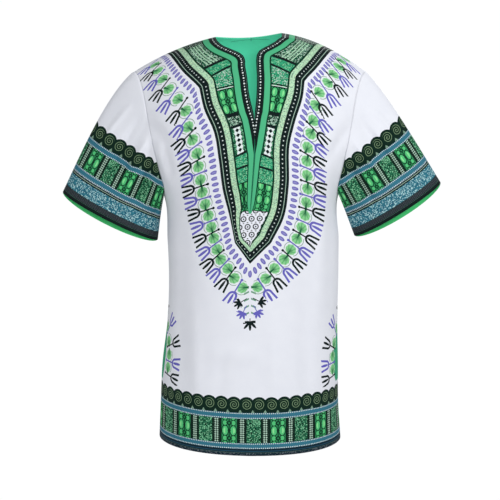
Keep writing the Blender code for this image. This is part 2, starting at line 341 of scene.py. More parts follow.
def fold_offset(folds, across, down):
    """Sum of the folds here: each fades at its ends."""
    total = np.zeros(np.broadcast(across, down).shape)
    for across_1, down_1, across_2, down_2, width, depth in folds:
        run = (across_2 - across_1, down_2 - down_1)
        length = math.hypot(*run)
        step = (across - across_1, down - down_1)
        along = np.clip((step[0] * run[0] + step[1] * run[1]) / length**2, 0, 1)
        away = (step[0] * run[1] - step[1] * run[0]) / length
        total += depth * np.sin(np.pi * along) * np.exp(-((away / width) ** 2))
    return total


def torso_point(x, down, face, folded=True):
    """Points of the front or back this far across and down."""
    roundness = ROUND[face]
    z = shoulder_height(x) - drop_of(down, roundness)
    half = np.where(x < 0, read(TORSO, LEFT, z), read(TORSO, RIGHT, z))
    share = np.minimum(np.abs(x) / half, 1.0)
    depth = read(TORSO, FRONT if face == "front" else BACK, z) * np.sqrt(1 - share**SECTION_SQUARENESS)
    depth = depth * np.sin(np.minimum(down / roundness, np.pi / 2))
    if folded:
        depth += fold_offset(FOLDS[face], x, down) * np.minimum(1.0, EDGE_FADE * (1 - share))
    depth += SEAM_GAP
    return np.stack([x, -depth if face == "front" else depth, z], -1)


def side_edge(row, side, face):
    """(x, down) of a panel's outer edge: the side seam, then the armhole up to the shoulder tip."""
    width = LEFT if side < 0 else RIGHT
    hem = HEM_LEFT if side < 0 else HEM_RIGHT
    tip = shoulder_height(TIP_OUT)
    turn = np.clip((row - SIDE_ROWS) / ARMHOLE_ROWS, 0, 1)
    rise = (1 - np.cos(np.pi * turn)) / 2
    low = hem + (ARMPIT - hem) * np.minimum(row / SIDE_ROWS, 1)
    z = np.where(row <= SIDE_ROWS, low, ARMPIT + (tip - ARMPIT) * rise)
    lean = TIP_OUT / read(TORSO, width, tip)
    ease = 1 + (lean - 1) * rise - ARMHOLE_SCOOP * np.sin(np.pi * turn) ** ARMHOLE_EASE
    x = side * read(TORSO, width, z) * ease
    last = row == SIDE_ROWS + ARMHOLE_ROWS
    return np.where(last, side * TIP_OUT, x), np.where(last, 0.0, down_of(x, z, ROUND[face]))


def front_middle_edge(row, side):
    """(x, down) of the inner edge of half the front: the middle line, the slit and the neck."""
    marks = np.cumsum((SIDE_ROWS,) + SLIT_ROWS)
    z = np.interp(row, (0, *marks), (HEM_MIDDLE, *SLIT_MARKS))
    x = read(SLIT, MIDDLE, z) + side * np.maximum(read(SLIT, HALF_WIDTH, z), 0)
    x = np.where(row <= SIDE_ROWS, 0.0, x)
    return x, np.where(row == marks[-1], 0.0, down_of(x, z, ROUND["front"]))


def back_middle_edge(row, side):
    """(x, down) of the inner edge of half the back: the middle line, then the neck to its side."""
    neck_row = SIDE_ROWS + ARMHOLE_ROWS - BACK_NECK_ROWS
    lowest = down_of(0.0, HEM_MIDDLE, ROUND["back"])
    turn = np.clip((row - neck_row) / BACK_NECK_ROWS, 0, 1) * np.pi / 2
    _, middle, half_width = SLIT[-1]
    straight = lowest + (BACK_NECK_DROP - lowest) * row / neck_row
    down = np.where(row <= neck_row, straight, BACK_NECK_DROP * np.cos(turn))
    return (middle + side * half_width) * np.sin(turn), down


def panel_flat(face, side):
    """(x, down) over half a panel, as two arrays of rows by columns, from the middle to the outer edge."""
    row = np.arange((SIDE_ROWS + ARMHOLE_ROWS) * FINE + 1)[:, None] / FINE
    share = np.arange(COLUMNS + 1)[None, :] / COLUMNS
    inner = (front_middle_edge if face == "front" else back_middle_edge)(row, side)
    outer = side_edge(row, side, face)
    above = np.clip((row - SIDE_ROWS) / SPACING_EASE, 0, 1)
    turned = np.sin(share * np.pi / 2)
    share = turned + (share - turned) * above
    across = inner[0] + (outer[0] - inner[0]) * share
    down = inner[1] + (outer[1] - inner[1]) * share
    low, high = (shoulder_height(x) - drop_of(d, ROUND[face]) for x, d in (inner, outer))
    level = down_of(across, low + (high - low) * share, ROUND[face])
    return across, level + (down - level) * above


def quads(numbers, flip):
    """Faces between the rows and columns of an array of vertex numbers."""
    a, b, c, d = numbers[:-1, :-1], numbers[:-1, 1:], numbers[1:, 1:], numbers[1:, :-1]
    order = (a, d, c, b) if flip else (a, b, c, d)
    return np.stack(order, -1).reshape(-1, 4)


def table_of(*columns):
    """Arrays of one shape, as the columns of a table."""
    return np.stack(columns, -1).reshape(-1, len(columns))


def headings(angle):
    """Unit steps (out, down) at these angles below level."""
    return np.stack([np.cos(angle), np.sin(angle)], 1)


def rowwise(points):
    """Length along each row of points, from its first."""
    steps = np.linalg.norm(np.diff(points, axis=1), axis=2)
    return np.concatenate([np.zeros((len(points), 1)), np.cumsum(steps, axis=1)], axis=1)


def vertex_normals(points, faces):
    """Unit normals at the points, from the faces round each."""
    normals = np.zeros_like(points)
    across = np.cross(points[faces[:, 2]] - points[faces[:, 0]], points[faces[:, 3]] - points[faces[:, 1]])
    for corner in range(4):
        np.add.at(normals, faces[:, corner], across)
    return normals / np.linalg.norm(normals, axis=1, keepdims=True)


def shell(name, points, faces, fields, corner_fields, chart, zones, materials):
    """A closed thin shell: the sheet given, its inner side, and the edges between them.

    fields are numbers at the points, and corner_fields and chart at the corners of the faces.
    """
    count = len(points)
    inner = points - vertex_normals(points, faces) * WALL
    sides = np.concatenate([faces[:, [k, (k + 1) % 4]] for k in range(4)])
    ahead, back = sides @ (count, 1), sides @ (1, count)
    open_sides = np.flatnonzero(~np.isin(ahead, back))
    rim = sides[open_sides]
    owner = open_sides % len(faces)
    rims = np.stack([rim[:, 1], rim[:, 0], rim[:, 0] + count, rim[:, 1] + count], 1)
    everything = np.concatenate([faces, faces[:, ::-1] + count, rims]).astype(np.int32)
    mesh = bpy.data.meshes.new(name)
    mesh.vertices.add(2 * count)
    mesh.vertices.foreach_set("co", np.concatenate([points, inner]).ravel())
    mesh.loops.add(everything.size)
    mesh.loops.foreach_set("vertex_index", everything.ravel())
    mesh.polygons.add(len(everything))
    mesh.polygons.foreach_set("loop_start", np.arange(0, everything.size, 4, dtype=np.int32))
    mesh.polygons.foreach_set("loop_total", np.full(len(everything), 4, np.int32))
    mesh.polygons.foreach_set("material_index", np.concatenate([zones, zones, zones[owner]]).astype(np.int32))
    mesh.update()

    def attribute(key, domain, values):
        mesh.attributes.new(key, "FLOAT_VECTOR", domain).data.foreach_set("vector", values.ravel())

    for key, values in fields.items():
        attribute(key, "POINT", np.concatenate([values, values]))
    attribute("inside", "POINT", np.repeat((0.0, 1.0), 3 * count))
    for key, values in corner_fields.items():
        edges = np.stack([values[owner, 0]] * 4, 1) if key == "band" else np.full((len(rims), 4, 3), FAR)
        attribute(key, "CORNER", np.concatenate([values, values[:, ::-1], edges]))
    low, high = chart.min((0, 1)), chart.max((0, 1))
    chart = (chart - low) / (high - low) * CHART_SIZE
    strip = np.arange(len(rims))
    place = np.stack([strip % RIM_COUNT / RIM_COUNT, strip // RIM_COUNT], 1) * RIM_ROW + RIM_AT
    corners = np.array(((0, 0), (1, 0), (1, 1), (0, 1))) * RIM_SIZE
    flat = np.concatenate([chart + OUTER_AT, chart[:, ::-1] + INNER_AT, place[:, None] + corners])
    mesh.uv_layers.new(name="OFBake").data.foreach_set("uv", flat.ravel())
    for material in materials:
        mesh.materials.append(material)
    mesh.shade_smooth()
    piece = bpy.data.objects.new(name, mesh)
    bpy.context.scene.collection.objects.link(piece)
    return piece


def nearest(points, line):
    """Distance from each point to an open line, and the length along the line of the nearest place on it."""
    start, run = line[:-1], np.diff(line, axis=0)
    length = np.linalg.norm(run, axis=1)
    step = points[:, None] - start
    along = np.clip((step * run).sum(-1) / length**2, 0, 1)
    gap = np.linalg.norm(step - along[..., None] * run, axis=-1)
    best = gap.argmin(1)
    rows = np.arange(len(points))
    before = np.concatenate([[0], np.cumsum(length)])
    return gap[rows, best], before[best] + along[rows, best] * length[best]


def outline_of(table):
    """The neck frame's outer edge for one side, as closely spaced (distance out, down) points."""
    rows = np.array(table, float)
    line = []
    for a, b in zip((0, *FRAME_CORNERS), (*FRAME_CORNERS, len(rows) - 1)):
        down = np.linspace(rows[a, 0], rows[b, 0], 40)
        line.append(np.stack([read(rows[a : b + 1], 1, down), down], 1))
    return np.concatenate([line[0], *[stretch[1:] for stretch in line[1:]]])


def stations(out, down):
    """How far along the blocks of the neck frame each point lies, counted in blocks."""
    level = np.array([start + slope * out for start, slope in BLOCK_LINES])
    gap = down - level
    count = np.clip((gap >= 0).sum(0) - 1, 0, len(BLOCK_LINES) - 2)
    here = np.take_along_axis(gap, count[None], 0)[0]
    following = np.take_along_axis(gap, count[None] + 1, 0)[0]
    return count + np.clip(here / (here - following), -1, 3)


def sprig_places(outline, side):
    """Stems, blooms and dashes that ring one side of the frame: (out, down, angle, kind, length)."""
    outline = outline[::-1]
    angle = np.radians(np.interp(outline[:, 1], SPRIG_DOWN, SPRIG_ANGLE))
    heading = headings(angle)

    def spaced(reach, gap, first):
        """Places one gap apart along a curve round the frame, from the first at its tip."""
        curve = outline + heading * np.interp(outline[:, 1], REACH_DOWN, reach)[:, None]
        steps = np.linalg.norm(np.diff(curve, axis=0), axis=1) / np.broadcast_to(gap, len(curve))[1:]
        count = np.concatenate([[0], np.cumsum(steps)])
        at = np.arange(first, count[-1])
        return np.stack([np.interp(at, count, values) for values in (curve[:, 0], curve[:, 1], angle)], 1)

    gap = np.interp(outline[:, 1], GAP_DOWN, STEM_GAP[side])
    stems = spaced(STEM_REACH[side], gap, STEM_FIRST[side])
    stems = np.column_stack([stems, np.arange(len(stems)) % 2, np.full(len(stems), STEM_LENGTH)])
    blooms = [TIP_BLOOM]
    for number, turn in ((-0.5, 1), (0.5, -1)):
        bloom = spaced(STEM_REACH[side], gap, STEM_FIRST[side] + number)[::2]
        bloom[:, :2] += BLOOM_OUT * headings(bloom[:, 2])
        bloom[:, 2] += turn * np.pi / 2
        blooms.append(np.pad(bloom, ((0, 0), (0, 2))))
    dashes = np.pad(spaced(DASH_REACH, DASH_GAP, 0.0), ((0, 0), (0, 2)))
    return np.concatenate([stems, TIP_SPRIGS]), np.concatenate(blooms), dashes


def local(corners, places):
    """Each face's corners in the frame of the nearest motif, in millimetres, with the motif's number."""
    heading = headings(places[:, 2])
    step = corners.mean(1)[:, None] - places[None, :, :2]
    along = np.clip((step * heading).sum(-1), 0, places[:, 4])
    gap = np.linalg.norm(step - along[..., None] * heading, axis=-1)
    best = gap.argmin(1)
    step = corners - places[best, None, :2]
    ahead = heading[best][:, None]
    w = (step * ahead).sum(-1)
    q = step[..., 0] * ahead[..., 1] - step[..., 1] * ahead[..., 0]
    return np.stack([q, w], -1) * MILLIMETRES, best


def frame_coordinates(face, side, spot, outline, edge):
    """The neck frame's print coordinates at each (out, down) spot, as two sets of three."""
    out, down = spot.T
    inward, around = nearest(spot, outline)
    inside = (out < np.interp(down, outline[:, 1], outline[:, 0])) & (down < outline[-1, 1])
    inward = np.where(inside, inward, -inward) * np.interp(down, PINCH_DOWN, PINCH[side])
    neck, along = nearest(spot, edge)
    strip, inner = STRIP_WIDTH[0], INNER_WIDTH[0]
    if face == "front":
        strip = np.interp(down, STRIP_DOWN, STRIP_WIDTH)
        inner = np.interp(down, INNER_DOWN, INNER_WIDTH)
    past = neck - strip
    neck = STRIP_WIDTH[0] + np.where(past < 0, past, past * INNER_WIDTH[0] / inner)
    frame = np.stack([neck * MILLIMETRES, inward * MILLIMETRES, stations(out, down)], 1)
    return frame, np.stack([along, around, past - inner], 1) * MILLIMETRES


def motif_coordinates(side, spots, ring_spots, on_ring, sprigs):
    """Across and along the nearest stem, bloom and dash at the faces' corners, and its kind."""
    found = {}
    seam = on_ring[:, None, None]
    here = np.where(seam, ring_spots, spots)
    for key, places, ring in zip(MOTIFS, sprigs, (RING_STEMS, RING_BLOOMS, None)):
        values, best = local(spots, places)
        kind = places[best, 3]
        if ring is None:
            values = np.where(seam, here * MILLIMETRES, values)
            kind = on_ring * float(side)
        else:
            ring_values, ring_best = local(here, ring)
            values = np.where(seam, ring_values, values)
            kind = np.where(on_ring, ring[ring_best, 3], kind)
        kinds = np.broadcast_to(kind[:, None, None], (*values.shape[:2], 1))
        found[key] = np.concatenate([values, kinds], -1)
    return found


def half_panel(face, side, shared):
    """One side of a panel: its points, its faces' zones, and the print's coordinates on them."""
    x, down = panel_flat(face, side)
    points = torso_point(x, down, face)
    across = rowwise(torso_point(x, down, face, folded=False)) + np.abs(x[:, :1])
    height = points[..., 2] - points[:1, :, 2]
    outline = outline_of(OUTLINE_LEFT if side < 0 else OUTLINE_RIGHT)
    spot = table_of(x * side, down)
    edge = table_of(x[shared:, 0] * side, down[shared:, 0])
    frame, rows = frame_coordinates(face, side, spot, outline, edge)
    grid = np.arange(x.size).reshape(x.shape)
    faces = quads(grid, (side < 0) == (face == "front"))
    ring = table_of(across[:, -1:] - across, height - RING_HEIGHT)
    near_seam, above = ring[faces].mean(1).T
    on_ring = (near_seam < RING_REACH) & (above < RING_REACH)
    on_ring &= height.ravel()[faces].mean(1) > HEM_TOP - ZONE_LAP
    out, level = spot[faces].mean(1).T
    zones = np.full(len(faces), PLAIN)
    near = (np.interp(level, LIMIT_DOWN, LIMIT_OUT) > out) & (level < LIMIT_DOWN[-1])
    zones[near | on_ring] = SPRIG
    zones[frame[faces, 1].max(1) > -ZONE_LAP * MILLIMETRES] = FRAMED
    zones[height.ravel()[faces].min(1) < HEM_TOP] = HEMMED
    return {
        "grid": grid,
        "points": points.reshape(-1, 3),
        "cloth": table_of(side * across, height, down) * MILLIMETRES,
        "frame": frame,
        "rows": rows,
        "chart": table_of(side * across, down)[faces],
        "zones": zones,
        **motif_coordinates(side, spot[faces], ring[faces], on_ring, sprig_places(outline, side)),
    }


def panel(face, materials):
    """A front or back shell: two halves, joined up the middle to the foot of the neck opening."""
    shared = (SIDE_ROWS if face == "front" else SIDE_ROWS + ARMHOLE_ROWS - BACK_NECK_ROWS) * FINE
    halves = [half_panel(face, side, shared) for side in (-1, 1)]
    left, right = (half.pop("grid") for half in halves)
    right += left.size
    right[: shared + 1, 0] = left[: shared + 1, 0]
    faces = np.concatenate([quads(left, face == "front"), quads(right, face == "back")])
    whole = {key: np.concatenate([half[key] for half in halves]) for key in halves[0]}
    used = np.unique(faces)
    renumber = np.zeros(len(whole["points"]), int)
    renumber[used] = np.arange(len(used))
    fields = {key: whole[key][used] for key in ("cloth", "frame", "rows")}
    corner_fields = {key: whole[key] for key in MOTIFS}
    return shell(
        f"{face}_cloth", whole["points"][used], renumber[faces], fields, corner_fields,
        whole["chart"], whole["zones"], materials,
    )


def sleeve_points(side):
    """Points of a sleeve, in rings from the armhole to its hem, as in the CAD."""
    step = np.arange(2 * ARMHOLE_ROWS * FINE)[None, :] / FINE
    t = np.arange(SLEEVE_RUNS + 1)[:, None, None] / SLEEVE_RUNS
    angle = np.pi * step / ARMHOLE_ROWS
    row = SIDE_ROWS + np.minimum(step, 2 * ARMHOLE_ROWS - step)
    ring = {}
    for face in ("front", "back"):
        x, down = side_edge(row, side, face)
        ring[face] = torso_point(x, down, face), torso_point(x - side * TANGENT_REACH, down, face)
    front = (step <= ARMHOLE_ROWS)[..., None]
    start, inside = (np.where(front, ring["front"][k], ring["back"][k])[0] for k in (0, 1))
    angle = angle[0]
    closed = np.abs(np.sin(angle)) < 1e-9
    start[closed, 1] = inside[closed, 1] = 0.0
    outer_x, outer_z, inner_x, inner_z, bulge = SLEEVE_ENDS[side]
    outer = np.array((outer_x, 0, outer_z))
    inner = np.array((inner_x, 0, inner_z))
    ends = outer - inner
    below = np.array((-ends[2], 0, ends[0])) / np.linalg.norm(ends)
    below = -below if below[2] > 0 else below
    turned = np.sin(angle)[:, None]
    hang = np.where(turned > 0, SLEEVE_HANG_FRONT, SLEEVE_HANG_BACK)
    end = (outer + inner) / 2 - ends / 2 * np.cos(angle)[:, None] + below * hang * np.abs(turned)
    end[:, 1] = -SLEEVE_HALF_DEPTH * np.sin(angle)
    straight = end - start
    slope = (start[:, 1] - inside[:, 1]) / TANGENT_REACH
    leave = straight.copy()
    leave[:, 1] += (slope * np.abs(straight[:, 0]) - straight[:, 1]) * SLEEVE_FOLLOW * np.abs(turned[:, 0])
    start = start + leave / np.linalg.norm(leave, axis=1, keepdims=True) * SLEEVE_SEAM
    start[:, 0] += side * ARMPIT_CLEARANCE * ((1 + np.cos(angle)) / 2) ** 2
    points = hermite(t, start, leave, end, straight)
    out = np.stack([-straight[:, 2] * side, 0 * straight[:, 0], straight[:, 0] * side], -1)
    out /= np.linalg.norm(out, axis=1, keepdims=True)
    top = ((1 - np.cos(angle)) / 2)[:, None] ** 2
    points += out * top * bulge * np.sin(np.pi * t**BULGE_SKEW)
    fold = fold_offset(SLEEVE_FOLDS, step / (2 * ARMHOLE_ROWS), t[..., 0])
    points[..., 1] -= fold * np.sin(angle)
    return points


def sleeve(side, materials):
    """A sleeve's shell, with the print's coordinates at the corners of its faces."""
    name = "left" if side < 0 else "right"
    points = sleeve_points(side)
    shape = points.shape[:2]
    numbers = np.arange(shape[0] * shape[1]).reshape(shape)
    ring = np.concatenate([numbers, numbers[:, :1]], axis=1)
    closed = np.concatenate([points, points[:, :1]], axis=1)
    above = rowwise(closed[::-1].swapaxes(0, 1)).T[::-1]
    hem = rowwise(closed[-1:])[0]
    around = np.broadcast_to(hem, ring.shape)
    band = table_of(around - SLEEVE_PHASE[side], above, around) * MILLIMETRES
    grid = np.arange(ring.size).reshape(ring.shape)
    corners = quads(grid, side > 0)
    chart = table_of(around, above)[corners]
    faces = quads(ring, side > 0)
    return shell(
        f"sleeve_{name}_cloth", points.reshape(-1, 3), faces, {}, {"band": band[corners]},
        chart, np.zeros(len(faces), int), materials,
    )


def linear(*levels):
    """A colour from its 0 to 255 screen levels."""
    shares = [level / 255 for level in levels]
    return (*[s / 12.92 if s <= 0.04045 else ((s + 0.055) / 1.055) ** 2.4 for s in shares], 1.0)


def joined(operation):
    """A method that joins a number to another one in a math node."""
    return lambda self, other: self.math(operation, other)


class Number:
    """A value in a material's nodes, written with plain arithmetic. Comparisons give 0 or 1."""

    def __init__(self, tree, socket):
        self.tree, self.socket = tree, socket

    def math(self, operation, *others):
        return self.tree.math(operation, self, *others)

    __add__, __sub__ = joined("ADD"), joined("SUBTRACT")
    __mul__, __truediv__ = joined("MULTIPLY"), joined("DIVIDE")
    __lt__, __gt__ = joined("LESS_THAN"), joined("GREATER_THAN")
    __and__, __or__ = joined("MULTIPLY"), joined("MAXIMUM")

    def __rsub__(self, other):
        return self.tree.math("SUBTRACT", other, self)

    def __abs__(self):
        return self.math("ABSOLUTE")

    def near(self, middle, reach):
        """Whether it is within reach of the middle."""
        return self.math("COMPARE", middle, reach)

    def mirrored(self, period):
        """Distance to the nearest whole number of periods."""
        return self.math("PINGPONG", period / 2)

    def wrapped(self, period):
        """Distance past the nearest whole number of periods."""
        return self.math("WRAP", -period / 2, period / 2)


class Print:
    """A cotton material whose colour is painted in layers over the ground."""

    def __init__(self, name, ground):
        self.material = bpy.data.materials.new(name)
        self.material.use_nodes = True
        self.nodes = self.material.node_tree.nodes
        self.links = self.material.node_tree.links
        self.colour = ground

    def node(self, kind, values=(), **settings):
        node = self.nodes.new("ShaderNode" + kind)
        for key, value in settings.items():
            setattr(node, key, value)
        for index, value in dict(values).items() if isinstance(values, dict) else enumerate(values):
            if isinstance(value, Number):
                value = value.socket
            if isinstance(value, bpy.types.NodeSocket):
                self.links.new(value, node.inputs[index])
            else:
                node.inputs[index].default_value = value
        return node

    def math(self, operation, *values):
        return Number(self, self.node("Math", values, operation=operation).outputs[0])

    def field(self, name):
        """The three numbers of a mesh attribute."""
        split = self.node("SeparateXYZ", [self.node("Attribute", attribute_name=name).outputs["Vector"]])
        return [Number(self, output) for output in split.outputs]

    def mix(self, share, a, b):
        return self.node("Mix", {0: share, 6: a, 7: b}, data_type="RGBA").outputs[2]

    def paint(self, where, colour):
        self.colour = self.mix(where, self.colour, colour)

    def length(self, a, b):
        return self.math("SQRT", a * a + b * b)

    def speckle(self, a, b, cell, seed=0.0):
        """A random level in each small square of the cloth."""
        spot = self.node("CombineXYZ", [self.math("FLOOR", a / cell), self.math("FLOOR", b / cell), seed])
        noise = self.node("TexWhiteNoise", {0: spot.outputs[0]}, noise_dimensions="3D")
        return Number(self, noise.outputs["Value"])

    def dots(self, a, b, period, radius):
        """Where a square grid of dots is."""
        return self.length(a.mirrored(period), b.mirrored(period)) < radius

    def speckled(self, where, a, b, cell, ground, dark, light, share):
        """A ground with dark and light specks, each over this share of it."""
        level = self.speckle(a + b, a - b, cell)
        self.paint(where, ground)
        self.paint(where & (level < share), dark)
        self.paint(where & (level > 1 - share), light)

    def ovals(self, where, a, b, half, period):
        """Two columns of ovals with a chain of diamonds between them: a across from the middle, b along."""
        across, along = abs(a), b.mirrored(period)
        middle = abs(along - period / 2)
        self.paint(where, LEAF)
        edge = self.length((across - half * 0.57) / (half * 0.39), along / (period * 0.30))
        disc = self.length(across - half * 0.60, middle * 0.9)
        self.paint(where & ((edge < 1.28) | (disc < half * 0.38)), FOREST)
        self.paint(where & ((edge < 1) | (disc < half * 0.29)), OVAL)
        self.paint(where & ((edge < 0.62) & (across > half * 0.55)), OVAL_LIGHT)
        diamond = across + middle
        chain = (diamond < half * 0.44) | (across + along < half * 0.26) | (across < half * 0.08)
        self.paint(where & chain, FOREST)
        self.paint(where & (diamond < half * 0.16), LEAF)

    def blue_band(self, along, across, width, lap=0.0):
        """A blue band from across = 0 to width, with a dark line and a row of white dots on both edges."""
        where = across.near(width / 2, width / 2 + lap)
        edge = across.mirrored(width)
        self.paint(where, BLUE)
        self.paint(where & (edge < 0.6), BLUE_DARK)
        self.paint(where & (self.length(along.mirrored(3.7), edge - 1.5) < 1.0), PALE)

    def spirals(self, along, across, foot):
        """A row of dark disks with pale spirals, centred on across = 0, over a dark footing."""
        period = SPIRAL_STEP
        where = across > -foot
        x = along.wrapped(period)
        radius = self.length(x, across)
        turn = self.math("ARCTAN2", across, x) / (2 * math.pi)
        self.paint(where & ((radius < period * 0.645) | (across < -4)), BOTTLE)
        line = self.math("FRACT", radius / 4.2 - turn) < 0.24
        self.paint(where & line & (radius < 10.2), MOSS)
        gap = period / 2 - abs(x)
        self.paint(where & (gap < (-9.4 - across) * 0.6), MOSS_LIGHT)

    def blocks(self, along, across, half, period):
        """The block panel, half its width to each side: speckled and oval blocks, dotted columns between."""
        where = across.near(0.0, half)
        share = along.mirrored(period) * (PANEL_STEP / period)
        self.speckled(where, along, across, 2.1, LEAF_DARK, BOTTLE, LEAF_LIGHT, 0.24)
        self.paint(where & (share > 13.4), BOTTLE)
        column = share.near(22.2, 4.9)
        self.paint(where & column & self.dots(share - 20.1, across, 4.2, 1.6), PALE_MOSS)
        middle = (share - PANEL_STEP / 2) * (period / PANEL_STEP)
        self.ovals(where & (share > 32.4), middle, across, 13.8 * period / PANEL_STEP, 29.5)

    def trident(self, q, w):
        """Where a stem with a three-pronged head is inked."""
        side, head = abs(q), w - 26
        stem = (side < 1.35) & w.near(14, 13.5)
        ball = self.length(q, w) < 2.5
        bowl = self.math("MINIMUM", head - 8.0, 0.0)
        flare = self.math("MAXIMUM", head - 8.0, 0.0) * 0.20 + 7.8
        cup = abs(self.length(q, bowl) - flare) < 2.05
        prong = self.length(q / 2.5, (head - 13.5) / 11.0) < 1
        return stem | ball | (((cup & (head > -1.8)) | prong) & (head < 23.0))

    def leafy(self, q, w, angles, length, width, root):
        """Where a fan of pointed leaves is inked, each at its angle from the stem."""
        side = abs(q)
        inked = (side < 0.8) & w.near(root / 2, root / 2)
        for angle in angles:
            ahead, aside = math.cos(math.radians(angle)), math.sin(math.radians(angle))
            along = side * aside + (w - root) * ahead
            away = side * ahead - (w - root) * aside
            half = length / 2
            inked = inked | (self.length((along - half) / half, away / width) < 1)
        return inked

    def stitches(self, along, across, place):
        """A row of machine stitches, at this distance across."""
        self.paint(across.near(place, 0.3) & (along.mirrored(3.2) < 1.15), THREAD)

    def finish(self, u, v, lining=None, thread=None, lined=None):
        """The cloth itself: the paler reverse of the print inside, threads, painted shade in soft random
        patches, weave and a soft nap.
        """
        reverse, _, _ = self.field("inside")
        inside = reverse > 0.5
        self.paint(inside * REVERSE_FADE, GROUND)
        if lining is not None:
            self.paint(inside & lining, lined or LINING)
        if thread is not None:
            self.paint(inside & thread, LEAF_DARK)
        cloth = self.node("CombineXYZ", [u, v, 0.0]).outputs[0]
        # Painted shade: every colour is darkened a little towards the blue-grey SHADE in soft random patches
        shade_noise = self.node("TexNoise", {"Vector": cloth, "Scale": 0.035, "Detail": 3.0}).outputs[0]
        painted_shade_patches = {0: Number(self, shade_noise) * 0.12, 6: self.colour, 7: SHADE}
        self.colour = self.node("Mix", painted_shade_patches, data_type="RGBA", blend_type="MULTIPLY").outputs[2]
        warp = self.math("SINE", u * WEAVE) * self.math("SINE", v * WEAVE)
        slub = self.node("TexNoise", {"Vector": cloth, "Scale": 1.4, "Detail": 2.0}).outputs[0]
        height = warp * 0.35 + Number(self, slub)
        bump = self.node("Bump", {"Height": height, "Strength": 0.35, "Distance": 0.0002}).outputs[0]
        shader = self.nodes["Principled BSDF"]
        self.links.new(self.colour, shader.inputs["Base Color"])
        self.links.new(bump, shader.inputs["Normal"])
        rough = Number(self, slub) * 0.12 + 0.70
        self.links.new(rough.socket, shader.inputs["Roughness"])
        shader.inputs["Specular IOR Level"].default_value = 0.10
        shader.inputs["Sheen Weight"].default_value = 0.02
        shader.inputs["Sheen Roughness"].default_value = 0.5
        return self.material


GROUND = linear(236, 238, 245)
LINING = linear(92, 228, 184)
LINING_GREEN = linear(76, 204, 122)
INK = linear(12, 28, 28)
NIGHT = linear(16, 40, 50)
BOTTLE = linear(8, 38, 28)
FOREST = linear(8, 54, 36)
LEAF = linear(48, 142, 88)
LEAF_DARK = linear(36, 106, 74)
LEAF_LIGHT = linear(132, 204, 158)
OVAL = linear(84, 196, 122)
PALE = linear(226, 236, 234)
BLUE = linear(54, 116, 136)
BLUE_DARK = linear(34, 84, 108)
TEAL = linear(54, 166, 120)
MOSS = linear(128, 156, 118)
MOSS_LIGHT = linear(128, 160, 138)
DULL = linear(86, 92, 100)
THREAD = linear(96, 128, 118)
CHEVRON = linear(112, 158, 132)
PALE_MOSS = linear(176, 208, 188)
OVAL_LIGHT = linear(140, 226, 150)
BAND_GREEN = linear(80, 186, 134)
PALE_GREEN = linear(178, 222, 186)
PURPLE = linear(104, 100, 190)
LAVENDER = linear(112, 106, 184)
LAVENDER_LIGHT = linear(146, 144, 204)
LEAF_BRIGHT = linear(96, 186, 112)
BLOOM = linear(140, 208, 146)
BLOOM_LIGHT = linear(200, 230, 204)
BLOOM_DARK = linear(34, 106, 66)
TEAL_BLUE = linear(52, 120, 136)
PALE_BLUE = linear(172, 212, 214)
MIST = linear(200, 230, 190)
SHADE = linear(176, 182, 204)
REVERSE_FADE = 0.5
WEAVE = 2 * math.pi / 0.62

# Sizes of the print, in millimetres of cloth
SPIRAL_STEP = 23.6
PANEL_STEP = 94
BLOCK_LENGTH = 56.0
NECK_BAND = 27.2
EDGE_BAND = 30.2
BEAD_LINE = 6.6
BEAD_STEP = 11.6
LATTICE_STEP = 15.0
DOME_HALF = 43.5
DOME_LEAN = 7.5
DOME_HEIGHT = 59.0
TACK_DOWN = 70.0

# Speckled blocks of the frame: number, size of a speck, ground, dark and light, and their share
BLOCK_SPECKLES = (
    (1, 2.0, LEAF_DARK, BOTTLE, PALE_MOSS, 0.30),
    (2, 2.2, TEAL, LEAF_DARK, LEAF_LIGHT, 0.20),
    (3, 2.1, TEAL, LEAF_DARK, PALE_MOSS, 0.26),
    (5, 2.0, LEAF_DARK, BOTTLE, PALE_MOSS, 0.40),
    (6, 2.0, LEAF_DARK, FOREST, LEAF_LIGHT, 0.26),
    (7, 2.2, TEAL, LEAF_DARK, LEAF_LIGHT, 0.20),
    (8, 2.1, TEAL, LEAF_DARK, LEAF_LIGHT, 0.30),
)
# Dark bars of the frame: block line, length of the block there, half width
BLOCK_BARS = (
    (1, 80, 1.4),
    (2, 16, 0.9),
    (3, 30, 2.6),
    (4, 56, 1.5),
    (4.085, 56, 0.9),
    (5, 20, 1.8),
    (6, 20, 1.4),
    (7, 30, 1.6),
    (8, 28, 2.2),
    (9, 50, 1.2),
    (10, 50, 1.5),
)


def plain_cloth(name):
    """Bare ground."""
    cloth = Print(name, GROUND)
    u, _, down = cloth.field("cloth")
    return cloth.finish(u, down)


def hem_cloth(name):
    """The hem's bands, placed by h, the height above its edge."""
    cloth = Print(name, GROUND)
    u, h, down = cloth.field("cloth")
    along = u - 7.0
    cloth.spirals(along - 10.0, h - 98.3, 15.3)
    cloth.blue_band(along, h - 71.3, 11.8)
    cloth.blocks(along, h - 48.0, 23.4, 92.5)
    cloth.blue_band(along, h - 13.4, 11.2)
    cloth.paint(h < 13.4, NIGHT)
    cloth.paint(h.near(9.0, 0.5), BLUE_DARK)
    cloth.paint((h < 5.5) & (cloth.speckle(u, h, 1.8) > 0.7), DULL)
    cloth.stitches(u, h, 6.0)
    return cloth.finish(u, down)


